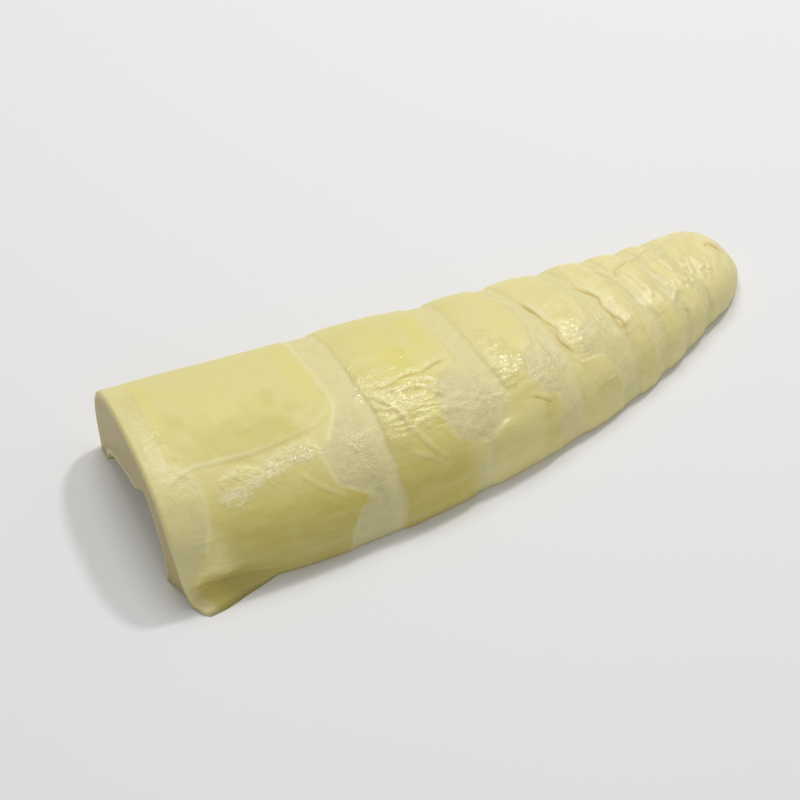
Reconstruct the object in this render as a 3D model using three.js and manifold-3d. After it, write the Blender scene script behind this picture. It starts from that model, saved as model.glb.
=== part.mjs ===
// Half of a peeled and boiled bamboo shoot, split lengthwise and lying on its cut face.
// +X runs from the cut base to the tip and +Z is up. The cut face rests on z = 0, and -Y is
// the side whose lower edge turns out into a thin foot. Lengths are in millimetres.

import * as THREE from "three";
import { LoftGeometry } from "three/addons/geometries/LoftGeometry.js";
import { mergeVertices } from "three/addons/utils/BufferGeometryUtils.js";
import Module from "manifold-3d";

// The outline.
const LENGTH = 211;
const BASE_HALF_WIDTH = 41;
const TAPER = 0.63; // share of the half width that is gone at the tip
const NOSE_LENGTH = 14; // stretch over which the tip rounds off
const HEIGHT_SHARE = 0.72; // height of the arch for each unit of half width
const ARCH_POWER = 2.5; // 2 would be an ellipse, and more is boxier
const BOW = 10; // how far the middle of the centre line bends towards -Y
const TIP_BEND = 3; // how far the tip turns back towards +Y

// The rings. Each internode ends in a node, and the last one runs on into the tip.
const INTERNODES = [65, 40, 26, 20.5, 13.5, 11, 10];
const SWELL = 1.1; // how far a long internode stands out between its nodes
const BAND_WIDTH = 7; // the pale ring at a node
const BAND_DEPTH = 0.4;
const FULL_RELIEF_LENGTH = 30; // internodes shorter than this have less relief

// The knife cut at the base and the edges beside it.
const CUT_SKEW = 0.11; // how far the cut leans along X for each unit of Y
const CUT_ROUNDING = 0.022; // how fast the cut turns back towards +X along the foot
const CUT_ROUNDING_FROM = -32; // the Y at which that starts
const TUCK = 0.27; // share of the half width by which the +Y edge curls in at the base
const TUCK_LENGTH = 45;
const TUCK_EVERYWHERE = 0.08;
const TIP_TUCK = 0.2; // share by which the -Y edge curls in at the tip
const TIP_TUCK_FROM = 155;
const NEAR_TUCK_EVERYWHERE = 0.02;
const FOOT_REACH = 9; // how far the -Y edge turns out at the base
const FOOT_LENGTH = 30;
const FOOT_HEIGHT = 0.3; // share of the arch's height that the foot takes

// The hollow of each internode, with a septum at each node.
const HOLLOW_NODES = 6; // the young growth past this node is solid
const SEPTUM = 2.4;
const WALL = 4; // side wall beyond the share that SIDE_SHARE leaves
const SIDE_SHARE = 0.73;
const ROOF = 2.5; // roof beyond the share that ROOF_SHARE leaves
const ROOF_SHARE = 0.55;
const HOLLOW_SHIFT = 4.5; // how far the hollows sit towards -Y
const HOLLOW_LEAN = 0.35; // how much higher a hollow is on its -Y side than on its axis
const HOLLOW_END = 0.86; // size of a hollow's end face for each unit of its middle

const ARCH_STEPS = 28;
const HOLLOW_STEPS = 14;
const CUT_CLEARANCE = 2; // how far a hollow's solid runs past the faces that it opens

// Places of the nodes along X.
const nodes = [];
let reached = 0;
for (const internode of INTERNODES) {
  reached += internode;
  nodes.push(reached);
}

const signedPower = (value, power) => Math.sign(value) * Math.abs(value) ** power;

// A point of the unit arch: across runs from 1 on the +Y side to -1, and up from 0 to 1 and back.
function archPoint(angle) {
  return {
    across: signedPower(Math.cos(angle), 2 / ARCH_POWER),
    up: Math.abs(Math.sin(angle)) ** (2 / ARCH_POWER),
  };
}

// How far the surface stands out from the plain taper: a swell between nodes, a sunk band at each.
function relief(x) {
  const edges = [-BAND_WIDTH, ...nodes, LENGTH + BAND_WIDTH];
  const index = edges.findIndex((edge) => x < edge);
  const band = BAND_WIDTH * Math.min(1, (edges[index] - edges[index - 1]) / FULL_RELIEF_LENGTH);
  const start = edges[index - 1] + band / 2;
  const end = edges[index] - band / 2;
  const strength = Math.min(1, (end - start) / FULL_RELIEF_LENGTH);
  if (x <= start || x >= end) return -BAND_DEPTH * strength;
  return SWELL * strength * Math.sin((Math.PI * (x - start)) / (end - start)) ** 0.7;
}

function halfWidth(x) {
  const past = Math.max(0, (x - LENGTH + NOSE_LENGTH) / NOSE_LENGTH);
  const nose = Math.sqrt(1 - past ** 2);
  return (BASE_HALF_WIDTH * (1 - TAPER * (x / LENGTH) ** 2) + relief(x)) * nose;
}

const centreLine = (x) => TIP_BEND * (x / LENGTH) ** 4 - BOW * 4 * (x / LENGTH) * (1 - x / LENGTH);

// How far each lower edge curls in, as a share of the half width.
const farTuck = (x) => TUCK * Math.exp(-((x / TUCK_LENGTH) ** 2)) + TUCK_EVERYWHERE;
const nearTuck = (x) =>
  TIP_TUCK * THREE.MathUtils.smoothstep(x, TIP_TUCK_FROM, LENGTH) + NEAR_TUCK_EVERYWHERE;

function foot(x, up) {
  const along = Math.max(0, 1 - x / FOOT_LENGTH);
  const low = Math.max(0, 1 - up / FOOT_HEIGHT);
  return FOOT_REACH * along ** 1.5 * low ** 2;
}

// How far the base end runs along X at each Y.
function cutLean(y) {
  const past = Math.max(0, CUT_ROUNDING_FROM - y);
  return CUT_SKEW * y + CUT_ROUNDING * past ** 2;
}

// The outside of the shoot in the plane at x, from the +Y edge over the top to the -Y edge.
function shootSection(x) {
  const width = halfWidth(x);
  const points = [];
  for (let step = 0; step <= ARCH_STEPS; step++) {
    const { across, up } = archPoint((Math.PI * step) / ARCH_STEPS);
    const tuck = across > 0 ? farTuck(x) : nearTuck(x);
    const curl = 1 - tuck * (1 - up) ** 0.8;
    const turnOut = across < 0 ? foot(x, up) : 0;
    const y = centreLine(x) + width * across * curl - turnOut;
    const lean = cutLean(y) * (1 - x / LENGTH);
    points.push(new THREE.Vector3(x + lean, y, HEIGHT_SHARE * width * up));
  }
  return points;
}

// Where sections are taken: close together at the edges of each band and round the nose.
function shootStations() {
  const stations = [0, 4, 8, 13, 18, 24, 30, 38, 46, 53];
  nodes.forEach((node, index) => {
    const edge = BAND_WIDTH / 2;
    stations.push(node - edge - 0.8, node - edge, node + edge, node + edge + 0.8);
    const next = nodes[index + 1] ?? LENGTH - NOSE_LENGTH / 2;
    const room = next - node - BAND_WIDTH;
    for (const share of [0.25, 0.5, 0.75]) stations.push(node + edge + share * room);
  });
  for (const past of [0.5, 0.7, 0.85, 0.94, 0.985, 0.998])
    stations.push(LENGTH - NOSE_LENGTH * (1 - past));
  return [...new Set(stations)].sort((a, b) => a - b).filter((x) => x < LENGTH);
}

// A hollow's outline in the plane at x, with its walls carried down past the cut face.
function hollowSection(x, size) {
  const width = size * (SIDE_SHARE * halfWidth(Math.max(x, 0)) - WALL);
  const height = size * (ROOF_SHARE * HEIGHT_SHARE * halfWidth(Math.max(x, 0)) - ROOF);
  const middle = centreLine(Math.max(x, 0)) - HOLLOW_SHIFT;
  const points = [new THREE.Vector3(x, middle + width, -CUT_CLEARANCE)];
  for (let step = 0; step <= HOLLOW_STEPS; step++) {
    const { across, up } = archPoint((Math.PI * step) / HOLLOW_STEPS);
    const lean = 1 - HOLLOW_LEAN * across;
    points.push(new THREE.Vector3(x, middle + width * across, height * up * lean));
  }
  points.push(new THREE.Vector3(x, middle - width, -CUT_CLEARANCE));
  return points;
}

// The hollow between two septa. The first one is open, because the knife took its base.
function hollowSections(index) {
  const start = index === 0 ? -5 * CUT_CLEARANCE : nodes[index - 1] + SEPTUM / 2;
  const end = nodes[index] - SEPTUM / 2;
  const sections = [];
  for (const share of [0, 0.04, 0.12, 0.3, 0.5, 0.7, 0.88, 0.96, 1]) {
    const fromEnd = index === 0 ? 1 - share : Math.min(share, 1 - share);
    const size = 1 - (1 - HOLLOW_END) * Math.max(0, 1 - fromEnd / 0.12) ** 2;
    sections.push(hollowSection(start + share * (end - start), size));
  }
  return sections;
}

const wasm = await Module();
wasm.setup();

// A closed geometry as a manifold-3d solid, with its shared vertices merged.
function solidOf(geometry) {
  const plain = new THREE.BufferGeometry();
  plain.setAttribute("position", geometry.getAttribute("position"));
  plain.setIndex(geometry.getIndex());
  const merged = mergeVertices(plain, 1e-4);
  return new wasm.Manifold(
    new wasm.Mesh({
      numProp: 3,
      vertProperties: merged.attributes.position.array,
      triVerts: new Uint32Array(merged.index.array),
    }),
  );
}

function geometryOf(solid) {
  const mesh = solid.getMesh();
  const geometry = new THREE.BufferGeometry();
  geometry.setAttribute("position", new THREE.BufferAttribute(mesh.vertProperties, 3));
  geometry.setIndex(new THREE.BufferAttribute(mesh.triVerts, 1));
  geometry.computeVertexNormals();
  return geometry;
}

const loftSolid = (sections) =>
  solidOf(new LoftGeometry(sections, { capStart: true, capEnd: true }));

function bambooShoot() {
  let solid = loftSolid(shootStations().map(shootSection));
  for (let index = 0; index < HOLLOW_NODES; index++)
    solid = solid.subtract(loftSolid(hollowSections(index)));
  const flesh = new THREE.MeshStandardMaterial({
    color: 0xdcd08a,
    roughness: 0.35,
    metalness: 0,
  });
  const mesh = new THREE.Mesh(geometryOf(solid), flesh);
  mesh.name = "bamboo_shoot";
  return mesh;
}

// The origin is under the middle of the shoot, on the face that it lies on.
const part = new THREE.Group();
const shoot = bambooShoot();
const box = new THREE.Box3().setFromObject(shoot);
const middle = box.getCenter(new THREE.Vector3());
shoot.position.set(-middle.x, -middle.y, -box.min.z);
part.add(shoot);

export default part;
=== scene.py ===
"""Half of a peeled and boiled bamboo shoot, lying on its cut face on a pale floor.

The shoot runs along X from its cut base to its tip and Z is up. -Y is the near side, where the
lower edge turns out into a thin foot at the base. Shapes are worked out in millimetres along the
shoot and in degrees round it: 0 is the lower edge of the near side, 90 the top, 180 the lower edge
of the far side. The finished mesh is in metres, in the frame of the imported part.
"""

import bpy
import numpy as np
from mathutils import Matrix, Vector


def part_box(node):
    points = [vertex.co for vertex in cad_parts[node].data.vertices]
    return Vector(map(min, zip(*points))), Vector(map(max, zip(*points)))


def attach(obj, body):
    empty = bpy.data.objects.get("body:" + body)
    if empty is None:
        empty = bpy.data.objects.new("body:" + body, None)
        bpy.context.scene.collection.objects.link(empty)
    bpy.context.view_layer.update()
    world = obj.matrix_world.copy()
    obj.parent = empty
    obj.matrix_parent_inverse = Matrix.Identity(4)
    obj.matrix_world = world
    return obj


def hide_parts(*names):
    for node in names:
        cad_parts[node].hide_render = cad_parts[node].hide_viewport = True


bl_info = {
    "name": "Half Bamboo Shoot",
    "version": (1, 0, 0),
    "blender": (4, 5, 0),
    "location": "3D View > Sidebar > Bamboo Shoot",
    "description": "Makes a peeled, boiled and halved bamboo shoot around its packed part",
    "category": "Add Mesh",
}

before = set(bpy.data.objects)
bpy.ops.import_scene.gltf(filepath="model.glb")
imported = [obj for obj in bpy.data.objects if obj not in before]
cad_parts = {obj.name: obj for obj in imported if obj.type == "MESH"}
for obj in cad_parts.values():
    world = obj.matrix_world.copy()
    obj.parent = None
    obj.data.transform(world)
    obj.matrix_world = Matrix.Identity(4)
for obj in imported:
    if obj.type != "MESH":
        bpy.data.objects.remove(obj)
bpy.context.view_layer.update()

NODE = "bamboo_shoot"
BODY = "root"
MM = 0.001

# What the mesh keeps for the material: everything that varies over the outside, then the
# knife-cut flesh and the lining of the hollows.
OUTSIDE_MASKS = (
    "ring_side", "torn", "margin", "wrinkled", "scuffed", "fold_side", "fold_near", "lip", "olive_and_shade",
    "low", "bright", "youth", "wet", "ruffled", "smear_and_painted_light",
)
MASKS = (*OUTSIDE_MASKS, "cut", "hollow")

# ---------------------------------------------------------------------------------------------
# The shoot's plan, in millimetres and degrees.

ARCH_LENGTH = 2.72  # length round the arch for each unit of half width

# The base cut.
CUT_SKEW = 0.11  # how far it leans along X for each unit of Y
CUT_ROUNDING = 0.022  # how fast it turns back towards the tip along the foot
CUT_ROUNDING_FROM = -32  # the Y at which that starts
CUT_UNEVENNESS = 0.12
EDGE_ROUNDING = 1.1

# How far the lower edges curl in, as shares of the half width.
FAR_TUCK = 0.27  # at the base
FAR_TUCK_LENGTH = 45
FAR_TUCK_EVERYWHERE = 0.08
NEAR_TUCK = 0.20  # at the tip
NEAR_TUCK_FROM = 155
NEAR_TUCK_EVERYWHERE = 0.02
EDGE_ROLL = 0.5  # how far the last stretch above the floor curls in besides, in millimetres
EDGE_ROLL_HEIGHT = 1.6

# The foot: a flare of the wall and a thin flap, as shares of the foot's reach, and the crease
# that the wall above the flap is drawn in to.
FLARE = 0.6
FLARE_LENGTH = 14
FLARE_HEIGHT = 9
FLAP_LENGTH = 27
FLAP_THICKNESS = 1.5
CREASE = 0.30
CREASE_LENGTH = 32
CREASE_HEIGHT = 11

# The hollows and the septa between them.
HOLLOW_NODES = 6
HOLLOW_SIDE = 0.73  # share of the half width that a hollow takes, less its wall
HOLLOW_WALL = 4
HOLLOW_TOP = 0.55  # share of the height that a hollow takes, less its roof
HOLLOW_ROOF = 2.5
HOLLOW_SHIFT = 4.5  # how far the hollows sit towards the near side
HOLLOW_LEAN = 0.35  # how much higher a hollow is on its near side than on its axis
SEPTUM = 2.4
SEPTUM_ROUNDING = 3.2
SEPTUM_BACK = 4  # from the end of a ring back to its septum
BREACH_HEIGHT = 5.5  # the bite that the knife took from the first hollow's roof
BREACH_PLACE = -0.42  # its middle across the hollow, from -1 at the near side to 1
BREACH_WIDTH = 0.3
BREACH_LENGTH = 14

# The mesh.
BODY_ROWS = 378
NOSE_ROWS = 23
COLUMN_SPANS = ((0, 12, 14), (12, 100, 88), (100, 180, 44))  # from and to in degrees, and steps
RIM_COLUMNS = 11
CUT_ROWS = 9

# Each node's ring, as (degrees, where the skin before it ends, where the next internode starts).
# Where the skin is torn back on the near side, the first number falls well behind the second.
RINGS = (
    ((0, 49.5, 67), (9, 50.5, 67.5), (15, 52.5, 68), (22, 55, 68.5), (27, 58.5, 69),
     (31, 59.5, 69), (38, 55, 69.5), (42, 52, 70), (55, 51.5, 70), (63, 50.5, 70.5),
     (66, 54.5, 70.5), (74, 58, 70.5), (84, 61.5, 70), (105, 60, 69.5), (180, 59, 68)),
    ((0, 92, 99), (9, 93, 99.5), (19, 94.5, 100), (25, 97, 100), (32, 99.5, 100.5),
     (37, 96, 102), (42, 91, 107), (51, 88.5, 110), (58, 88.5, 111.5), (70, 89.7, 110.5),
     (77, 91.5, 109.5), (81, 96.5, 109), (86, 101.5, 109), (120, 101, 108), (180, 99, 106)),
    ((0, 124, 134), (20, 124, 134.5), (30, 126.5, 134.5), (43, 126, 134.5), (47, 122, 134.5),
     (60, 119.5, 135.5), (75, 121, 135), (79, 126, 135), (90, 128.5, 134), (105, 126.5, 131),
     (120, 125, 129.5), (180, 122, 128)),
    ((0, 149, 156.5), (30, 149, 156.5), (52, 146, 156.5), (56, 139.5, 156.5), (74, 141, 155),
     (79, 147, 154.5), (90, 148, 154.5), (105, 145, 150.5), (120, 144, 149), (180, 142, 147)),
    ((0, 165.5, 169.5), (60, 164.5, 169.5), (90, 162, 167), (105, 161, 165), (120, 160, 164),
     (180, 158, 162)),
    ((0, 177, 180.5), (60, 176, 180), (90, 173.5, 178), (120, 173, 177), (180, 171, 175)),
    ((0, 187.5, 191), (60, 186.5, 190.5), (90, 183.5, 188), (120, 182, 186.5), (180, 180, 184)),
)
RING_WIDTHS = (8, 7.2, 5.5, 5, 4, 3.5, 3.5)  # the whole ring, without the torn skin
TORN_DEPTHS = (0.55, 0.75, 0.55, 0.3, 0.1, 0.0, 0.0)  # how grey and pebbled the torn skin is
SWELLS = (0.5, 1.0, 1.3, 1.3, 1.0, 0.8, 0.6, 0.4)  # how far each internode stands out

# Where the pale margin beside the base cut ends, as (degrees, along).
BASE_MARGIN = (
    (0, 5), (3, 4.5), (7, 4), (11, 4.5), (22, 7), (30, 9.5), (38, 11.5), (45, 12.8), (55, 13.5),
    (62, 13.2), (67, 11.5), (70, 9), (76, 8.2), (100, 8), (180, 7.5),
)

# The long edge where the first internode's upper skin ends, as (along, degrees).
SKIN_EDGE = ((4, 64), (9, 69), (14, 71.5), (30, 71), (40, 72.5), (52, 75.5), (60, 83))

# Folds: points as (along, degrees), then the groove's depth and darkness, and the height and
# width of its lip. The lip is above a line that is listed towards the tip, and on the tip side of
# one listed downwards. A negative height puts it on the other side.
FOLDS = (
    (((72.5, 83), (76, 82.6), (80, 83.2), (85, 84.8), (90, 84.5), (96, 86.5), (100, 87)),
     0.08, 1.0, 0.16, 0.6),
    (((84, 82.5), (87, 80.5), (90, 79), (92.5, 78)), 0.10, 0.4, 0.2, 0.8),
    (((76, 79.5), (80, 77.5), (86, 76.5), (91, 73)), 0.10, 0.3, 0.3, 0.8),
    (((72, 78), (75, 72), (77, 66), (77.5, 58)), 0.10, 0.2, 0.3, 0.7),
    (((41, 54), (44, 46), (48, 38), (51, 32)), 0.03, 0.25, 0.14, 0.9),
    (((75.5, 74), (76.5, 61), (79, 50), (82, 38), (85, 31)), 0.04, 0.25, 0.22, 0.9),
    (((74, 45), (77, 40), (81, 34), (83, 28)), 0.03, 0.1, 0.14, 0.9),
    (((131, 107), (133, 95), (134.5, 89), (136, 82.5), (135, 75), (136, 68), (137, 60)),
     0.05, 0.8, 0.11, 0.6),
    (((150, 102), (152, 95), (155, 89), (154.2, 84), (155.5, 73), (157, 68), (157, 58)),
     0.05, 0.8, 0.11, 0.6),
    (((164, 94), (167, 102), (172, 106), (178, 109), (182, 113), (184, 118)),
     0.10, 0.7, 0.25, 0.9),
    (((168, 98), (169.5, 90), (170.5, 82), (169.5, 74)), 0.05, 0.4, 0.45, 0.8),
    (((174, 94), (176.5, 86), (177.5, 78), (178.5, 72), (176, 62)), 0.05, 0.3, 0.55, 0.8),
    (((181, 98), (182.6, 88), (183.8, 78), (185.4, 67)), 0.03, 0.25, 0.65, 0.8),
    (((186.2, 67), (187.4, 76), (188.8, 86), (190, 96)), 0.03, 0.2, -0.5, 0.8),
    (((190.8, 94), (191.8, 84), (192.6, 76), (193.6, 72)), 0.03, 0.25, 0.55, 0.8),
    (((194, 73), (195, 78), (195.4, 90)), 0.03, 0.2, -0.4, 0.8),
    (((199, 92), (201.5, 94), (204, 90), (206, 82)), 0.25, 1.0, 0.2, 0.9),
    (((117, 48), (120, 44), (122, 40), (124, 38)), 0.10, 0.6, 0.2, 0.8),
    (((139, 31), (143, 30), (148, 30)), 0.05, 0.4, 0.05, 0.8),
    (((160, 112), (163, 100), (165, 88), (166, 76), (166.5, 62)), 0.05, 0.5, 0.30, 0.8),
    (((124, 112), (127, 104), (129, 98)), 0.05, 0.4, 0.1, 0.8),
    (((180, 60), (180.5, 46), (180, 34)), 0.06, 0.5, 0.2, 0.9),
    (((190.5, 62), (191, 48), (190, 36)), 0.06, 0.45, 0.2, 0.9),
    # The crease above the foot: its dark line is painted shade where the wall draws in.
    (((1, 7), (6, 4.6), (12, 3.2), (20, 2.6), (29, 2.2)), 0.20, 0.5, 0.05, 0.8),
)

# Torn or worn skin that shows deeper flesh: middle as (along, degrees), half sizes in
# millimetres, and how deep the colour is.
BRUISES = (
    ((116, 52), (4.5, 3.5), 0.5),
    ((122.5, 35), (3.6, 6.0), 0.8),
    ((120.5, 18), (2.8, 8.0), 0.7),
    ((143.5, 28), (4.5, 3.5), 0.45),
    ((161.5, 27), (4.5, 9.0), 0.35),
    ((172.5, 45), (3.5, 8.0), 0.3),
    ((94.5, 80.5), (3.0, 1.5), 0.5),
    ((28, 80), (24, 6), 0.55),
    ((42, 78), (8, 4), 0.15),
)

# Where the skin is rucked up: middle, half sizes, how much and the seed of its ragged edge.
WRINKLES = (
    ((82, 72), (11.5, 11), 1.0, 7),
    ((72, 86), (3.5, 5), 0.8, 8),
    ((73.5, 60), (3, 7), 0.8, 9),
    ((114.5, 76), (4.5, 8), 0.7, 10),
    ((140, 72), (4, 8), 0.5, 12),
    ((158, 74), (2.5, 8), 0.5, 13),
)

# The middle of the roughened patch under the skin edge, as (along, degrees).
SCUFF_LINE = ((21, 51), (29, 57), (36, 63), (45, 65))

# Where the wet film is finely ruffled and glitters: middle, half sizes and how much.
RUFFLES = (
    ((72, 86), (4, 5), 1.0),
    ((83, 72), (10, 10), 0.8),
    ((74, 61), (3, 7), 0.8),
    ((115, 75), (4.5, 9), 1.0),
    ((121, 61), (3, 4), 0.6),
    ((140, 73), (4, 8), 1.0),
    ((150, 60), (5, 8), 0.6),
    ((159.5, 72), (3, 10), 0.9),
    ((173, 74), (6, 6), 0.7),
    ((178.5, 74), (3, 8), 1.0),
    ((186, 84), (4, 9), 0.9),
    ((194, 82), (3.5, 8), 1.0),
    ((103, 50), (8, 9), 0.8),
    ((63, 46), (5, 10), 0.7),
    ((129, 62), (4, 10), 0.6),
    ((30, 59), (8, 4), 0.9),
    ((44, 65), (7, 3), 0.9),
    ((8, 60), (4, 8), 0.6),
    ((6, 88), (4, 14), 0.6),
)

# Where the skin is a clearer, brighter yellow: middle, half sizes and how much.
BRIGHT_SPOTS = (
    ((56, 100), (7, 24), 0.6),
    ((32, 90), (22, 8), 0.5),
    ((84, 98), (12, 12), 1.0),
    ((96, 106), (4, 16), 0.9),
    ((90, 62), (6, 8), 0.8),
    ((122, 92), (6, 10), 0.6),
    ((138, 84), (5, 8), 0.5),
    ((10, 100), (3, 20), 0.7),
    ((8, 84), (4, 8), 0.5),
)


class ShootShape(bpy.types.PropertyGroup):
    """Sizes of the half shoot."""

    length: bpy.props.FloatProperty(
        name="Length", description="From the base cut to the tip", default=211 * MM, unit="LENGTH")
    half_width: bpy.props.FloatProperty(
        name="Half Width", description="Half of the width at the base", default=41 * MM,
        unit="LENGTH")
    taper: bpy.props.FloatProperty(
        name="Taper", description="Share of the half width that is gone at the tip", default=0.63,
        subtype="FACTOR")
    height_share: bpy.props.FloatProperty(
        name="Height Share", description="Height of the arch for each unit of half width",
        default=0.72, subtype="FACTOR")
    arch_power: bpy.props.FloatProperty(
        name="Arch Power", description="2 is an ellipse, and more is boxier", default=2.5)
    nose: bpy.props.FloatProperty(
        name="Nose", description="Stretch over which the tip rounds off", default=14 * MM,
        unit="LENGTH")
    bow: bpy.props.FloatProperty(
        name="Bow", description="How far the middle bends towards the near side",
        default=10 * MM, unit="LENGTH")
    tip_bend: bpy.props.FloatProperty(
        name="Tip Bend", description="How far the tip turns back to the far side",
        default=3 * MM, unit="LENGTH")
    foot: bpy.props.FloatProperty(
        name="Foot", description="How far the near edge turns out at the base", default=9 * MM,
        unit="LENGTH")
    skin: bpy.props.FloatProperty(
        name="Skin", description="Step from an internode's skin down to a ring",
        default=0.32 * MM, unit="LENGTH")


class ShootColours(bpy.types.PropertyGroup):
    """Colours of the boiled flesh."""

    skin: bpy.props.FloatVectorProperty(
        name="Skin", description="Yellow of the internodes", subtype="COLOR",
        default=(0.78, 0.70, 0.29))
    bright: bpy.props.FloatVectorProperty(
        name="Bright Skin", description="Cleaner yellow in the middle of an internode",
        subtype="COLOR", default=(0.80, 0.72, 0.20))
    young: bpy.props.FloatVectorProperty(
        name="Young Skin", description="Paler yellow towards the tip", subtype="COLOR",
        default=(0.88, 0.80, 0.38))
    # Olive of bruises and the near wall; on the wall partly own colour, partly painted shade.
    olive_and_shade: bpy.props.FloatVectorProperty(
        name="Deep Skin", description="Olive yellow of the near wall", subtype="COLOR",
        default=(0.64, 0.55, 0.12))
    # Painted shade: brownish olive for the strip along the lower edge, near the floor.
    painted_shade: bpy.props.FloatVectorProperty(
        name="Shaded Skin", description="Brownish olive along the lower edge", subtype="COLOR",
        default=(0.50, 0.44, 0.15))
    ring: bpy.props.FloatVectorProperty(
        name="Ring", description="Cream of the node rings and torn patches", subtype="COLOR",
        default=(0.79, 0.72, 0.36))
    grey: bpy.props.FloatVectorProperty(
        name="Wet Ring", description="Greyer cream where a ring is thin and wet",
        subtype="COLOR", default=(0.64, 0.59, 0.33))
    blush: bpy.props.FloatVectorProperty(
        name="Blush", description="Beige of the young sheaths' edges", subtype="COLOR",
        default=(0.80, 0.66, 0.33))
    # Pale fibres; on the scuffed patch partly painted sheen, on lips partly painted highlight.
    pale_fibres_and_sheen: bpy.props.FloatVectorProperty(
        name="Scuff", description="Pale roughened fibres", subtype="COLOR",
        default=(0.92, 0.88, 0.60))
    # Golden brown of the folds; along the crease above the foot it is painted shade.
    crease: bpy.props.FloatVectorProperty(
        name="Crease", description="Golden brown in the folds", subtype="COLOR",
        default=(0.62, 0.43, 0.07))
    # Knife-cut flesh, kept dark: partly its own colour, partly painted shade on the base cut.
    cut: bpy.props.FloatVectorProperty(
        name="Cut", description="Knife-cut flesh", subtype="COLOR", default=(0.54, 0.44, 0.19))


class StageSettings(bpy.types.PropertyGroup):
    """The floor, the lights and the camera."""

    floor_size: bpy.props.FloatProperty(
        name="Floor Size", description="Width of the floor", default=6.0, unit="LENGTH")
    floor_colour: bpy.props.FloatVectorProperty(
        name="Floor", description="Colour of the floor", subtype="COLOR",
        default=(0.84, 0.84, 0.85))
    key_power: bpy.props.FloatProperty(
        name="Key Power", description="Power of the light overhead", default=4.6, unit="POWER")
    key_size: bpy.props.FloatProperty(
        name="Key Size", description="Width of the light overhead", default=0.6, unit="LENGTH")
    key_place: bpy.props.FloatVectorProperty(
        name="Key Place", description="Middle of the light overhead", default=(0.12, 0.50, 1.08),
        subtype="TRANSLATION")
    lamp_power: bpy.props.FloatProperty(
        name="Lamp Power", description="Power of the small lamp", default=5.3, unit="POWER")
    lamp_size: bpy.props.FloatProperty(
        name="Lamp Size", description="Width of the small lamp", default=0.15, unit="LENGTH")
    lamp_place: bpy.props.FloatVectorProperty(
        name="Lamp Place", description="Middle of the small lamp", default=(0.68, 0.45, 1.08),
        subtype="TRANSLATION")
    fill_power: bpy.props.FloatProperty(
        name="Fill Power", description="Power of the wide light by the camera", default=0.9,
        unit="POWER")
    fill_size: bpy.props.FloatProperty(
        name="Fill Size", description="Width of the light by the camera", default=0.8,
        unit="LENGTH")
    fill_place: bpy.props.FloatVectorProperty(
        name="Fill Place", description="Middle of the light by the camera",
        default=(-0.40, -0.80, 0.60), subtype="TRANSLATION")
    sky: bpy.props.FloatProperty(
        name="Sky", description="Strength of the even light from all round", default=0.36)
    azimuth: bpy.props.FloatProperty(
        name="Azimuth", description="Camera's turn round the shoot",
        default=np.radians(-29.1), subtype="ANGLE")
    elevation: bpy.props.FloatProperty(
        name="Elevation", description="Camera's height above the floor, as an angle",
        default=np.radians(45.7), subtype="ANGLE")
    distance: bpy.props.FloatProperty(
        name="Distance", description="From the camera to the point that it looks at",
        default=1.0, unit="LENGTH")
    lens: bpy.props.FloatProperty(
        name="Lens", description="Focal length", default=148.2, unit="CAMERA")
    aim: bpy.props.FloatVectorProperty(
        name="Aim", description="Point looked at, from the middle of the base cut",
        default=(90.6 * MM, 0.5 * MM, 0.0), subtype="TRANSLATION")


# ---------------------------------------------------------------------------------------------
# Small tools.


def smooth(t):
    """0 below 0, 1 above 1 and t * t * (3 - 2t) between."""
    t = np.clip(t, 0, 1)
    return t * t * (3 - 2 * t)


def noise(u, v, seed):
    """Random heights at whole (u, v), each blended into the next by 3t^2 - 2t^3."""
    table = np.random.default_rng(seed).uniform(-1, 1, (256, 256))
    iu, iv = np.floor(u).astype(int), np.floor(v).astype(int)
    su, sv = smooth(u - iu), smooth(v - iv)

    def corner(a, b):
        return table[(iu + a) % 256, (iv + b) % 256]

    near = corner(0, 0) * (1 - su) + corner(1, 0) * su
    far = corner(0, 1) * (1 - su) + corner(1, 1) * su
    return near * (1 - sv) + far * sv


def rough(u, v, seed, octaves=4):
    """Noise plus the same noise twice as fine and half as high, and so on, brought back to
    about -1 to 1."""
    total = np.zeros(np.broadcast(u, v).shape)
    for octave in range(octaves):
        total += noise(u * 2**octave, v * 2**octave, seed + octave) / 2**octave
    return total / 1.6


def along_points(angle, points, column=1):
    """A value at each angle, straight between given points of (angle, value, ...)."""
    places = [point[0] for point in points]
    return np.interp(angle, places, [point[column] for point in points])


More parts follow.
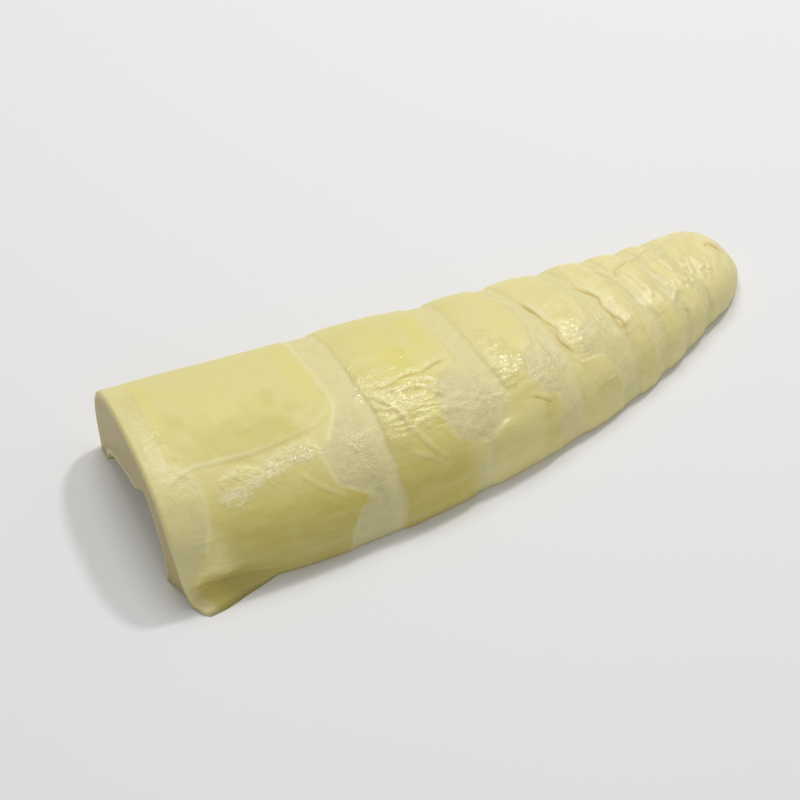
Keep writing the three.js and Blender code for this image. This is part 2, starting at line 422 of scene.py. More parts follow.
class Plan:
    """The outline of the shoot in millimetres, from the sizes in the sidebar."""

    def __init__(self, shape):
        self.length = shape.length / MM
        self.half = shape.half_width / MM
        self.taper = shape.taper
        self.height_share = shape.height_share
        self.power = shape.arch_power
        self.nose = shape.nose / MM
        self.bow = shape.bow / MM
        self.tip_bend = shape.tip_bend / MM
        self.foot = shape.foot / MM
        self.skin = shape.skin / MM

    def width(self, x):
        """Half width: a parabola that gives up the taper, then a quarter circle at the nose."""
        past = np.clip((x - self.length + self.nose) / self.nose, 0, 1)
        return self.half * (1 - self.taper * (x / self.length) ** 2) * np.sqrt(1 - past**2)

    def middle(self, x):
        """Centre line: a parabola towards the near side, plus a fourth power back at the tip."""
        share = x / self.length
        return self.tip_bend * share**4 - self.bow * 4 * share * (1 - share)

    def cut_lean(self, y):
        """How far the base cut runs along X at each Y: a slope, turned back along the foot by a
        parabola."""
        return CUT_SKEW * y + CUT_ROUNDING * np.clip(CUT_ROUNDING_FROM - y, 0, None) ** 2

    def arch(self, degrees):
        """A point of the unit arch, as (towards the far side, up): a superellipse."""
        turn = np.radians(degrees)
        across = -np.sign(np.cos(turn)) * np.abs(np.cos(turn)) ** (2 / self.power)
        return across, np.abs(np.sin(turn)) ** (2 / self.power)

    def outside(self, x, degrees):
        """The plain outside: the arch scaled to the half width, its far edge tucked in at the
        base, its near edge tucked in towards the tip and turned out in a foot at the base."""
        width = self.width(x)
        across, up = self.arch(degrees)
        far_tuck = FAR_TUCK * np.exp(-((x / FAR_TUCK_LENGTH) ** 2)) + FAR_TUCK_EVERYWHERE
        past = smooth((x - NEAR_TUCK_FROM) / (self.length - NEAR_TUCK_FROM))
        near_tuck = NEAR_TUCK_EVERYWHERE + NEAR_TUCK * past
        tuck = np.where(across > 0, far_tuck, near_tuck)
        z = self.height_share * width * up
        y = self.middle(x) + width * across * (1 - tuck * (1 - up) ** 0.8)
        y = y + self.edge_roll(x, z) * np.sign(-across) - self.foot_reach(x, z) * (across < 0)
        return x + self.cut_lean(y) * (1 - x / self.length), y, z

    def edge_roll(self, x, z):
        """How far the last stretch above the floor curls inwards, as a quarter ellipse."""
        low = np.clip(1 - z / EDGE_ROLL_HEIGHT, 0, 1)
        return EDGE_ROLL * (1 - np.sqrt(1 - low**2)) * np.clip(self.width(x) / 10, 0, 1)

    def foot_reach(self, x, z):
        """How far the foot stands out: a flare and a flap that fade along the shoot and up the
        wall as powers, with the wall above the flap drawn in to a crease."""
        flare = FLARE * np.clip(1 - x / FLARE_LENGTH, 0, 1) ** 1.3
        flare = flare * np.clip(1 - z / FLARE_HEIGHT, 0, 1) ** 2
        flap = np.clip(1 - x / FLAP_LENGTH, 0, 1) ** 0.9 * smooth(1.25 - z / FLAP_THICKNESS)
        crease = CREASE * smooth(x / 8) * smooth((CREASE_LENGTH - x) / 14)
        crease = crease * smooth((CREASE_HEIGHT - z) / 9) * smooth(z / EDGE_ROLL_HEIGHT)
        return self.foot * (flare + flap * (1 - flare) - crease)

    def hollow(self, x):
        """Middle, half width and height of the hollow at x. Where the shoot is narrower than
        the hollows' shift allows, the middle stays inside it."""
        width = self.width(x)
        middle = self.middle(x) - np.minimum(HOLLOW_SHIFT, 0.25 * width)
        half = HOLLOW_SIDE * width - HOLLOW_WALL
        return middle, half, HOLLOW_TOP * self.height_share * width - HOLLOW_ROOF

    def rings(self, degrees):
        """For each node: where skin ends, and where the next internode starts, with raggedness."""
        found = []
        for index, points in enumerate(RINGS):
            ragged = rough(degrees / 9, index + 0.5, 40 + index, 3)
            start = along_points(degrees, points, 1) + 0.9 * ragged
            end = along_points(degrees, points, 2) + 0.5 * rough(degrees / 14, index, 60, 3)
            found.append((start, end))
        return found


class Surface:
    """Everything that varies over the outside: heights in millimetres, and masks that are 0
    where a look is missing and about 1 where it is full."""

    def __init__(self, plan, x, degrees):
        self.plan = plan
        self.x = x
        self.degrees = degrees
        # Millimetres round the arch for one degree.
        self.pitch = np.maximum(plan.width(x), 4) * ARCH_LENGTH / 180
        self.around = degrees * self.pitch
        self.rings = plan.rings(degrees)
        self.youth = smooth((x - 85) / 90)
        self.near = smooth((74 - degrees) / 52)
        self.ring_side, self.torn, self.strip = self.ring_masks()
        self.ring_mask = smooth(self.ring_side / 0.8 + 0.5)
        self.margin = self.margin_mask()
        self.wrinkled = self.wrinkle_mask()
        self.scuffed = self.scuff_mask()
        self.olive_and_shade, self.low = self.olive_and_shade_masks()
        self.bright = self.bright_mask()
        self.fold_near = np.zeros_like(x)
        self.fold_side = np.ones_like(x)
        # The lip mask lightens the colour: partly pale edges, partly a painted highlight.
        self.lip = 0.12 * self.strip
        self.height = self.relief() + self.skin_steps() + self.folds() + self.grain()
        self.ruffled = self.ruffle_mask()
        self.wet = self.wet_mask()
        self.smear_and_painted_light = self.smear_and_painted_light_mask()

    def line(self, points):
        """Distance from a line through listed (along, degrees) points, how far above it
        (towards the top of the arch) each place is, and the share of the line's length there."""
        nearest = np.full(self.x.shape, 1e9)
        above = np.zeros(self.x.shape)
        place = np.zeros(self.x.shape)
        count = len(points) - 1
        for index, ((x0, d0), (x1, d1)) in enumerate(zip(points, points[1:])):
            ax, ay = self.x - x0, (self.degrees - d0) * self.pitch
            bx, by = x1 - x0, (d1 - d0) * self.pitch
            share = np.clip((ax * bx + ay * by) / (bx * bx + by * by), 0, 1)
            away = np.hypot(ax - share * bx, ay - share * by)
            closer = away < nearest
            above = np.where(closer, (bx * ay - by * ax) / np.hypot(bx, by), above)
            place = np.where(closer, (index + share) / count, place)
            nearest = np.minimum(away, nearest)
        return nearest, above, place

    def spot(self, middle, half, seed, ragged=0.35, softness=0.5):
        """1 in the middle of an oval with a ragged edge, 0 outside it."""
        across = (self.x - middle[0]) / half[0]
        up = (self.degrees - middle[1]) * self.pitch / half[1]
        wobble = ragged * rough(self.x / 4, self.around / 4, seed, 4)
        return smooth((1 + softness / 2 - np.hypot(across, up) + wobble) / softness)

    def ring_masks(self):
        """Millimetres inside the pale ring areas, negative outside; the torn skin there that is
        grey and pebbled; and the lighter strip along a ring's tip side, partly a paler edge and
        partly a painted highlight."""
        side = np.full(self.x.shape, -9.0)
        torn = np.zeros_like(self.x)
        strip = np.zeros_like(self.x)
        for index, (start, end) in enumerate(self.rings):
            here = np.minimum(self.x - start, end - self.x)
            side = np.maximum(side, here)
            inside = smooth(here / 1.5 + 0.5)
            before = smooth((end - 0.55 * RING_WIDTHS[index] - self.x) / 2.5 + 0.5)
            low = smooth((86 - self.degrees) / 12)
            torn = np.maximum(torn, TORN_DEPTHS[index] * inside * before * low)
            beam = np.exp(-(((self.x - end + 2.6) / 1.5) ** 2)) * smooth((80 - self.degrees) / 30)
            strip = np.maximum(strip, beam * inside * (1 - 0.12 * index))
        return side, torn, strip

    def margin_mask(self):
        """1 on the pale margin beside the base cut."""
        edge = along_points(self.degrees, BASE_MARGIN) + 0.6 * rough(self.degrees / 7, 0.3, 21)
        return smooth((edge - self.x) / 2.2 + 0.3)

    def wrinkle_mask(self):
        """1 where the second internode's skin is rucked up under its fold, with a few small
        rucks just past the later rings."""
        mask = np.zeros_like(self.x)
        for middle, half, much, seed in WRINKLES:
            mask = np.maximum(mask, much * self.spot(middle, half, seed))
        return mask

    def scuff_mask(self):
        """1 on the roughened patch under the skin edge of the first internode."""
        away, _, _ = self.line(SCUFF_LINE)
        wobble = 2.4 * rough(self.x / 3, self.around / 3, 11)
        return smooth((5.0 - away + wobble) / 4)

    def olive_and_shade_masks(self):
        """How olive the skin is, on the near wall of the old internodes and in bruises; on the
        near wall partly the flesh's own colour and partly painted shade. Also how far each
        place lies in the strip along the lower edge that is painted brownish as shade."""
        old = 1 - 0.80 * smooth((self.x - 86) / 12) - 0.10 * smooth((self.x - 120) / 50)
        # Near wall of the old internodes: partly its own olive, partly painted shade.
        olive_and_shade = self.near * old
        for index, (middle, half, depth) in enumerate(BRUISES):
            olive_and_shade = olive_and_shade + depth * self.spot(middle, half, 90 + index, 0.8, 0.9)
        # The strip along the lower edge, painted darker as shade near the floor.
        low = smooth((30 - self.degrees) / 26) * smooth((self.x - 6) / 10)
        return np.clip(olive_and_shade, 0, 1.3), low * (1 - smooth((self.x - 45) / 55))

    def bright_mask(self):
        """1 where the yellow is clearest."""
        bright = np.zeros_like(self.x)
        for index, (middle, half, depth) in enumerate(BRIGHT_SPOTS):
            across = (self.x - middle[0]) / half[0]
            up = (self.degrees - middle[1]) * self.pitch / half[1]
            wobble = 0.5 * rough(self.x / 12, self.around / 5, 180 + index, 3)
            bright = np.maximum(bright, depth * smooth(1.1 - np.hypot(across, up) + wobble))
        return bright

    def ruffle_mask(self):
        """1 where the wet film glitters."""
        mask = np.zeros_like(self.x)
        for index, (middle, half, much) in enumerate(RUFFLES):
            mask = np.maximum(mask, much * self.spot(middle, half, 210 + index, 0.7, 0.9))
        return mask

    def relief(self):
        """Internodes swell out just past each ring as 1 - exp(-x), and fall slowly to the next
        one as a power. Slow lumps lie over all of it, and it fades out at the tip."""
        starts = [np.full(self.x.shape, -12.0)] + [end for _, end in self.rings]
        height = np.zeros_like(self.x)
        for index, start in enumerate(starts):
            if index < len(self.rings):
                stop = self.rings[index][1] - RING_WIDTHS[index]
            else:
                stop = np.full(self.x.shape, self.plan.length)
            span = stop - start
            t = np.clip((self.x - start) / span, 0, 1)
            inside = (self.x > start) & (self.x < stop)
            rise = 1 - np.exp(-(self.x - start) / np.minimum(4.5, span / 3))
            fall = 1 - 0.85 * t**2.2
            bump = SWELLS[index] * np.clip(rise, 0, 1) * fall
            height = np.where(inside, bump, height)
        height *= 0.45 + 0.55 * smooth((self.degrees - 2) / 40)
        fade = smooth((self.plan.length - self.x) / 12)
        lumps = rough(self.x / 22, self.around / 20, 3) * (0.30 + 0.40 * smooth((self.x - 60) / 60))
        return (height + lumps) * fade

    def skin_steps(self):
        """Skin stands above the rings, and ends in a step along the tears."""
        plan = self.plan
        height = plan.skin * (1 - self.ring_mask)
        # The first internode's upper skin ends in a long edge above its rough lower part.
        away, above, _ = self.line(SKIN_EDGE)
        reach = smooth((self.x - 3) / 6) * smooth((62 - self.x) / 8)
        lower = smooth(-above / 0.9) * reach * smooth((above + 9) / 7)
        height -= 0.16 * lower
        edge = np.exp(-(((above - 0.2) / 0.5) ** 2)) * reach * (away < 4)
        height += 0.10 * edge
        self.lip = np.maximum(self.lip, edge * (0.6 - 0.4 * smooth((self.x - 24) / 20)))
        # The margin by the cut is a little lower than the skin, behind a thin bright edge.
        height -= 0.15 * self.margin
        rim = along_points(self.degrees, BASE_MARGIN)
        ring = np.exp(-(((self.x - rim - 0.2) / 0.7) ** 2)) * smooth((72 - self.degrees) / 6)
        self.lip = np.maximum(self.lip, 0.6 * ring * smooth((self.degrees - 24) / 16))
        start = self.rings[0][0]
        self.lip = np.maximum(self.lip, 0.5 * np.exp(-(((self.x - start + 0.5) / 0.8) ** 2)))
        return height

    def folds(self):
        """Each fold is a thin groove with a lip beside it, fading at its ends. The side and
        nearness kept for the material draw the groove's fine line, which is painted shade at the
        crease above the foot, and lips are lightened, partly as a painted highlight."""
        height = np.zeros_like(self.x)
        nearest = np.full(self.x.shape, 1e9)
        for index, (points, depth, dark, lip, width) in enumerate(FOLDS):
            away, above, place = self.line(points)
            ends = smooth(np.minimum(place, 1 - place) / 0.15)
            uneven = np.clip(0.8 + 0.5 * rough(place * 6, index + 0.5, 130), 0.2, 1.2) * ends
            groove = np.exp(-((away / 0.5) ** 2)) * uneven
            middle = np.sign(lip) * (0.5 + width)
            ridge = np.exp(-(((above - middle) / width) ** 2)) * (away < 5 * width) * uneven
            height += abs(lip) * ridge - depth * groove
            closer = away < nearest
            nearest = np.minimum(away, nearest)
            self.fold_side = np.where(closer, np.clip(above, -2, 2), self.fold_side)
            here = dark * uneven * np.exp(-((away / 1.2) ** 2))
            self.fold_near = np.where(closer, here, self.fold_near)
            self.lip = np.maximum(self.lip, 0.35 * ridge)
        return height

    def grain(self):
        """Fine heights: wrinkles under the fold, scuffs, lengthwise fibres, the wet film, torn
        patches, and the faint hoops of the young end."""
        x, around = self.x, self.around
        slant = around + 0.22 * x + 0.9 * rough(x / 7, around / 5, 14, 2)
        ruck = 1 - 2.4 * np.abs(rough(x / 7, slant / 1.5, 15, 2))
        cross = 1 - 2.4 * np.abs(rough((x + 0.9 * around) / 2.6, around / 4, 16, 2))
        height = self.wrinkled * (0.22 * ruck + 0.14 * cross)
        height += 0.07 * self.scuffed * rough(x / 2.5, around / 1.1, 17, 2)
        height += 0.05 * rough(x / 14, around / 1.2, 19, 2)
        height += 0.05 * self.ring_mask * rough(x / 1.6, around / 4, 23, 3)
        film = smooth((x - 62) / 8) * smooth((self.degrees - 50) / 12)
        height += 0.09 * film * rough(x / 2.6, around / 3.2, 35, 2)
        height += 0.16 * self.torn * rough(x / 1.3, around / 1.3, 25, 2)
        near_low = smooth((34 - self.degrees) / 24) * smooth((x - 10) / 14)
        height += 0.14 * near_low * rough(x / 6, around / 1.8, 27, 3)
        height += 0.14 * self.youth * rough(x / 2.2, around / 8, 29, 3)
        height += 0.10 * self.youth * self.near * rough(x / 2.0, around / 2.0, 31, 3)
        return height

    def wet_mask(self):
        """How wet and glossy each place is."""
        wet = 0.08 + 0.18 * smooth((self.x - 60) / 10)
        wet = wet + 0.22 * rough(self.x / 9, self.around / 9, 33)
        wet = wet + 0.30 * self.wrinkled - 0.30 * self.ring_mask + 0.5 * self.lip
        return np.clip(np.maximum(wet, 1.1 * self.ruffled), 0, 1)

    def smear_and_painted_light_mask(self):
        """Where the flesh is lightened towards young yellow: low on the near side past the second
        ring, where pale pulp is smeared over it, and beside the base cut, where it is partly pulp
        and partly painted light on the shaded corner."""
        past = smooth((52 - self.degrees) / 14) * smooth((self.x - 90) / 10)
        base = smooth((42 - self.degrees) / 10) * smooth((19 - self.x) / 8)
        base = base * smooth((self.degrees - 5) / 5)
        return np.maximum(0.7 * past, 1.5 * base)


# ---------------------------------------------------------------------------------------------
# Meshes.


def clean_faces(grid):
    """Quads of a grid of vertex numbers. Where two corners of a quad are one vertex, it becomes a
    triangle; where more are, it goes."""
    quads = np.stack([grid[:-1, :-1], grid[:-1, 1:], grid[1:, 1:], grid[1:, :-1]], -1)
    quads = quads.reshape(-1, 4)
    same = quads == np.roll(quads, -1, 1)
    whole = quads[same.sum(1) == 0]
    bent = quads[same.sum(1) == 1]
    drop = same[same.sum(1) == 1].argmax(1)
    keep = (drop[:, None] + 1 + np.arange(3)) % 4
    return [*whole.tolist(), *np.take_along_axis(bent, keep, 1).tolist()]


def stations(plan):
    """Places along the shoot: close at the base edge, even along the body, and closing at the
    nose as the sine of even steps of a quarter turn."""
    edge = np.array([0, 0.12, 0.3, 0.55, 0.85])
    body = np.linspace(1.2, plan.length - plan.nose, BODY_ROWS)
    turn = np.linspace(0, np.pi / 2, NOSE_ROWS + 2)[1:-1]
    nose = plan.length - plan.nose * (1 - np.sin(turn))
    return np.concatenate([edge, body, nose])


def column_angles():
    """Angles round the arch from the far edge to the near one: closest at the near edge, then
    on the near side and the top."""
    parts = [np.linspace(low, high, count, endpoint=False) for low, high, count in COLUMN_SPANS]
    return np.concatenate([*parts, [180.0]])[::-1]


def outward(points):
    """Unit normals of a grid of points, from the cross product of its two directions."""
    along, round_ = np.gradient(points, axis=0), np.gradient(points, axis=1)
    normal = np.cross(round_, along)
    length = np.linalg.norm(normal, axis=-1, keepdims=True)
    return normal / np.maximum(length, 1e-9)


def outside_grid(plan):
    """The outside: the plain arch moved along its normals by the surface's heights, which fade
    out just before the tip, with its edge at the base cut rounded by a quarter circle."""
    x, degrees = np.meshgrid(stations(plan), column_angles(), indexing="ij")
    surface = Surface(plan, x, degrees)
    points = np.stack(plan.outside(x, degrees), -1)
    rounding = EDGE_ROUNDING * (1 - np.sqrt(1 - np.clip(1 - x / EDGE_ROUNDING, 0, 1) ** 2))
    height = surface.height * smooth((plan.length - x) / 3) - rounding
    points = points + outward(points) * height[..., None]
    # What ends up next to the floor or under it is put on it.
    points[..., 2] = np.where(points[..., 2] < 0.02, 0, points[..., 2])
    points[:, (0, -1), 2] = 0
    return points, surface


def septum_share(plan, x):
    """1 inside a hollow, 0 on the septa between: the ends rise as steep rounded steps."""
    share = np.zeros_like(x)
    start = -20.0  # the first hollow has no septum before it
    for points in RINGS[:HOLLOW_NODES]:
        node = 0.5 * (points[0][2] + points[-1][2]) - SEPTUM_BACK
        room = np.minimum(x - start - SEPTUM / 2, node - SEPTUM / 2 - x)
        t = np.clip(room / SEPTUM_ROUNDING, 0, 1)
        share = np.maximum(share, (1 - (1 - t) ** 4) ** 0.5)
        start = node
    return share


def underside_grid(plan, outside):
    """The underside from the near edge to the far one: a flat rim, a dome over each hollow
    (the arch's formula at the hollow's size) and the other rim."""
    columns = (outside.shape[1] - 1) // 2 + 1
    xs = stations(plan)
    middle, half, height = plan.hollow(xs)
    half, height = np.maximum(half, 0.35 * plan.width(xs)), np.maximum(height, 0)
    across, up = plan.arch(np.linspace(0, 180, columns - 2 * RIM_COLUMNS))
    share = septum_share(plan, xs)
    x2, a2 = np.meshgrid(xs, across, indexing="ij")
    y = middle[:, None] + half[:, None] * across[None, :]
    z = height[:, None] * up[None, :] * (1 - HOLLOW_LEAN * a2) * share[:, None]
    # Where the knife opened the first hollow, its roof is eaten away in a bell-shaped bite.
    bite = np.exp(-(((a2 - BREACH_PLACE) / BREACH_WIDTH) ** 2) - (x2 / BREACH_LENGTH) ** 2)
    z = z + BREACH_HEIGHT * bite * share[:, None]
    z = z * (1 + 0.05 * rough(x2 / 5, a2 * 7, 71))
    lean = plan.cut_lean(y) * (1 - x2 / plan.length)
    vault = np.stack([x2 + lean, y, z], -1)
    near, far = outside[:, -1], outside[:, 0]
    t = (np.arange(RIM_COLUMNS) / RIM_COLUMNS)[:, None, None]
    near_rim = near + (vault[:, 0] - near) * t
    far_rim = far + (vault[:, -1] - far) * t[::-1]
    return np.concatenate([near_rim.transpose(1, 0, 2), vault, far_rim.transpose(1, 0, 2)], 1)


def cut_grid(outside, under):
    """The base cut in rows, straight from the outer edge down to the underside's first row and
    a little uneven. The outer edge itself and the two ends of each row are left out."""
    t = (np.arange(1, CUT_ROWS) / CUT_ROWS)[:, None, None]
    steps = np.linspace(0, under.shape[1] - 1, outside.shape[1])
    low = np.floor(steps).astype(int).clip(0, under.shape[1] - 2)
    part = (steps - low)[:, None]
    brim = (under[0][low] * (1 - part) + under[0][low + 1] * part)[::-1]
    face = outside[0][None] * (1 - t) + brim[None] * t
    face[..., 0] += CUT_UNEVENNESS * rough(face[..., 1] / 2.2, face[..., 2] / 9, 81)
    return face[:, 1:-1]


def stitch(fine, coarse):
    """Triangles between two edges, where the fine one has two steps for each coarse one."""
    a, b, c = fine[:-2:2], fine[1:-1:2], fine[2::2]
    p, q = coarse[:-1], coarse[1:]
    corners = np.concatenate([np.stack(t, 1) for t in ((p, b, a), (p, q, b), (q, c, b))])
    whole = (corners != np.roll(corners, 1, 1)).all(1)
    return corners[whole].tolist()


def shoot_mesh(plan):
    """One closed surface: the outside, the underside and the base cut, closed in one point at
    the tip. Returns vertices, faces, masks and the chart, which is each vertex's millimetres
    along and round the shoot."""
    outside, surface = outside_grid(plan)
    under = underside_grid(plan, outside)
    rows, columns = outside.shape[:2]
    inner = under[:, 1:-1]
    face = cut_grid(outside, under)
    tip = np.array([[plan.length, plan.middle(plan.length), 0.0]])
    vertices = np.concatenate([g.reshape(-1, 3) for g in (outside, inner, face, tip)])

    n_out, n_in = outside[..., 0].size, inner[..., 0].size
    out_ids = np.arange(n_out).reshape(rows, columns)
    in_ids = n_out + np.arange(n_in).reshape(inner.shape[:2])
    under_ids = np.concatenate([out_ids[:, -1:], in_ids, out_ids[:, :1]], 1)
    face_ids = n_out + n_in + np.arange(face[..., 0].size).reshape(face.shape[:2])
    tip_id = len(vertices) - 1

    ends = np.ones((CUT_ROWS - 1, 1), int)
    face_grid = np.concatenate([ends * out_ids[0, 0], face_ids, ends * out_ids[0, -1]], 1)
    face_grid = np.concatenate([out_ids[:1], face_grid], 0)
    faces = clean_faces(out_ids)
    faces += clean_faces(under_ids)
    faces += clean_faces(face_grid[::-1])
    faces += clean_faces(np.stack([out_ids[-1], np.full(columns, tip_id)]))
    faces += clean_faces(np.stack([under_ids[-1], np.full(under_ids.shape[1], tip_id)]))
    faces += stitch(face_grid[-1], under_ids[0][::-1])

    masks = {name: np.zeros(len(vertices)) for name in MASKS}
    for name in OUTSIDE_MASKS:
        masks[name][:n_out] = getattr(surface, name).ravel()
    cut = np.ones(inner.shape[:2]) * (1 - smooth(inner[..., 2] / 0.8))
    masks["cut"][n_out : n_out + n_in] = cut.ravel()
    masks["hollow"][n_out : n_out + n_in] = 1 - cut.ravel()
    masks["cut"][n_out + n_in : -1] = 1
    masks["wet"][n_out:] = 0.5
    masks["youth"][-1] = 1
    chart = np.zeros((len(vertices), 2))
    chart[:n_out] = np.stack([surface.x, surface.around], -1).reshape(-1, 2)
    chart[n_out:] = vertices[n_out:, :2]
    return vertices, faces, masks, chart


def frame_shift(plan):
    """Where the plan's zero is in the frame, in metres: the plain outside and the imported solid
    end at the same places at the tip and on the far side."""
    x, degrees = np.meshgrid(stations(plan), column_angles(), indexing="ij")
    _, y, _ = plan.outside(x, degrees)
    low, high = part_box(NODE)
    return np.array([high.x - plan.length * MM, high.y - y.max() * MM, low.z])


def new_object(name, vertices, faces):
    """A mesh object at the origin with smooth faces."""
    mesh = bpy.data.meshes.new(name)
    mesh.from_pydata(vertices, [], faces)
    mesh.shade_smooth()
    mesh.update()
    piece = bpy.data.objects.new(name, mesh)
    bpy.context.scene.collection.objects.link(piece)
    return piece


def store(mesh, name, values):
    """Keeps one number for each vertex as a named attribute."""
    layer = mesh.attributes.new(name, "FLOAT", "POINT")
    layer.data.foreach_set("value", np.ascontiguousarray(values, np.float32))


def store_chart(mesh, chart):
    """Keeps millimetres along and round the shoot as the mesh's own UV map, a unit for 100."""
    layer = mesh.uv_layers.new(name="chart")
    corner = np.empty(len(mesh.loops), np.int32)
    mesh.loops.foreach_get("vertex_index", corner)
    layer.data.foreach_set("uv", (chart[corner] / 100).astype(np.float32).ravel())


# ---------------------------------------------------------------------------------------------
# Shader maths.


class Value:
    """A socket that can be used in sums: + - * / with numbers or other sockets add Math nodes."""

    def __init__(self, tree, socket):
        self.tree = tree
        self.socket = socket

    def math(self, operation, *values, clamp=False):
        settings = {"operation": operation, "use_clamp": clamp}
        return self.tree.node("ShaderNodeMath", settings, dict(enumerate(values)), 0)

    def __add__(self, other):
        return self.math("ADD", self, other)

    def __sub__(self, other):
        return self.math("SUBTRACT", self, other)

    def __rsub__(self, other):
        return self.math("SUBTRACT", other, self)

    def __mul__(self, other):
        return self.math("MULTIPLY", self, other)

    def __truediv__(self, other):
        return self.math("DIVIDE", self, other)

    __radd__ = __add__
    __rmul__ = __mul__

    def clamp(self):
        """The value kept between 0 and 1."""
        return self.math("ADD", self, 0.0, clamp=True)

    def absolute(self):
        return self.math("ABSOLUTE", self)

    def at_least(self, low):
        return self.math("MAXIMUM", self, low)

    def between(self, low, high):
        """0 at low, 1 at high, smooth between."""
        inputs = {"Value": self, "From Min": low, "From Max": high, "To Min": 0.0, "To Max": 1.0}
        return self.tree.node(
            "ShaderNodeMapRange", {"interpolation_type": "SMOOTHSTEP"}, inputs, "Result")


class Tree:
    """A material's nodes. Its node method adds any node."""

    def __init__(self, name):
        self.material = bpy.data.materials.new(name)
        self.material.use_nodes = True
        self.nodes = self.material.node_tree.nodes
        self.links = self.material.node_tree.links
        self.nodes.clear()

    def node(self, kind, settings, inputs, output):
        """Adds a node, sets its settings and then its inputs, each a number, a colour or a link,
        and returns one of its outputs."""
        node = self.nodes.new(kind)
        for name, value in settings.items():
            setattr(node, name, value)
        for name, value in inputs.items():
            socket = self.find(node.inputs, name)
            if isinstance(value, Value):
                self.links.new(value.socket, socket)
            else:
                socket.default_value = value
        return Value(self, self.find(node.outputs, output))

    def find(self, sockets, name):
        """A socket by its number, its identifier or its name."""
        if isinstance(name, int):
            return sockets[name]
        for socket in sockets:
            if socket.identifier == name or (socket.name == name and socket.enabled):
                return socket
        raise KeyError(name)

    def finish(self, shader):
        output = self.nodes.new("ShaderNodeOutputMaterial")
        self.links.new(shader.socket, output.inputs["Surface"])
        return self.material

    def mask(self, name):
        """A number that the mesh keeps at each vertex."""
        return self.node(
            "ShaderNodeAttribute", {"attribute_name": name, "attribute_type": "GEOMETRY"}, {},
            "Fac")

    def mix(self, factor, first, second):
        """The first colour where the factor is 0 and the second where it is 1 or more."""
        inputs = {"Factor_Float": factor, "A_Color": first, "B_Color": second}
        settings = {"data_type": "RGBA", "clamp_factor": True}
        return self.node("ShaderNodeMix", settings, inputs, "Result_Color")

    def stretched(self, coordinate, along, around):
        """The chart squeezed so that one unit is so many millimetres each way."""
        scale = (100 / along, 100 / around, 1.0)
        return self.node("ShaderNodeMapping", {}, {"Vector": coordinate, "Scale": scale}, "Vector")

    def noise(self, vector, detail=4.0, roughness=0.55, scale=1.0, distortion=0.0):
        inputs = {"Vector": vector, "Scale": scale, "Detail": detail, "Roughness": roughness,
                  "Distortion": distortion}
        return self.node("ShaderNodeTexNoise", {"noise_dimensions": "3D"}, inputs, "Fac")


def rgba(colour):
    return (*colour, 1.0)


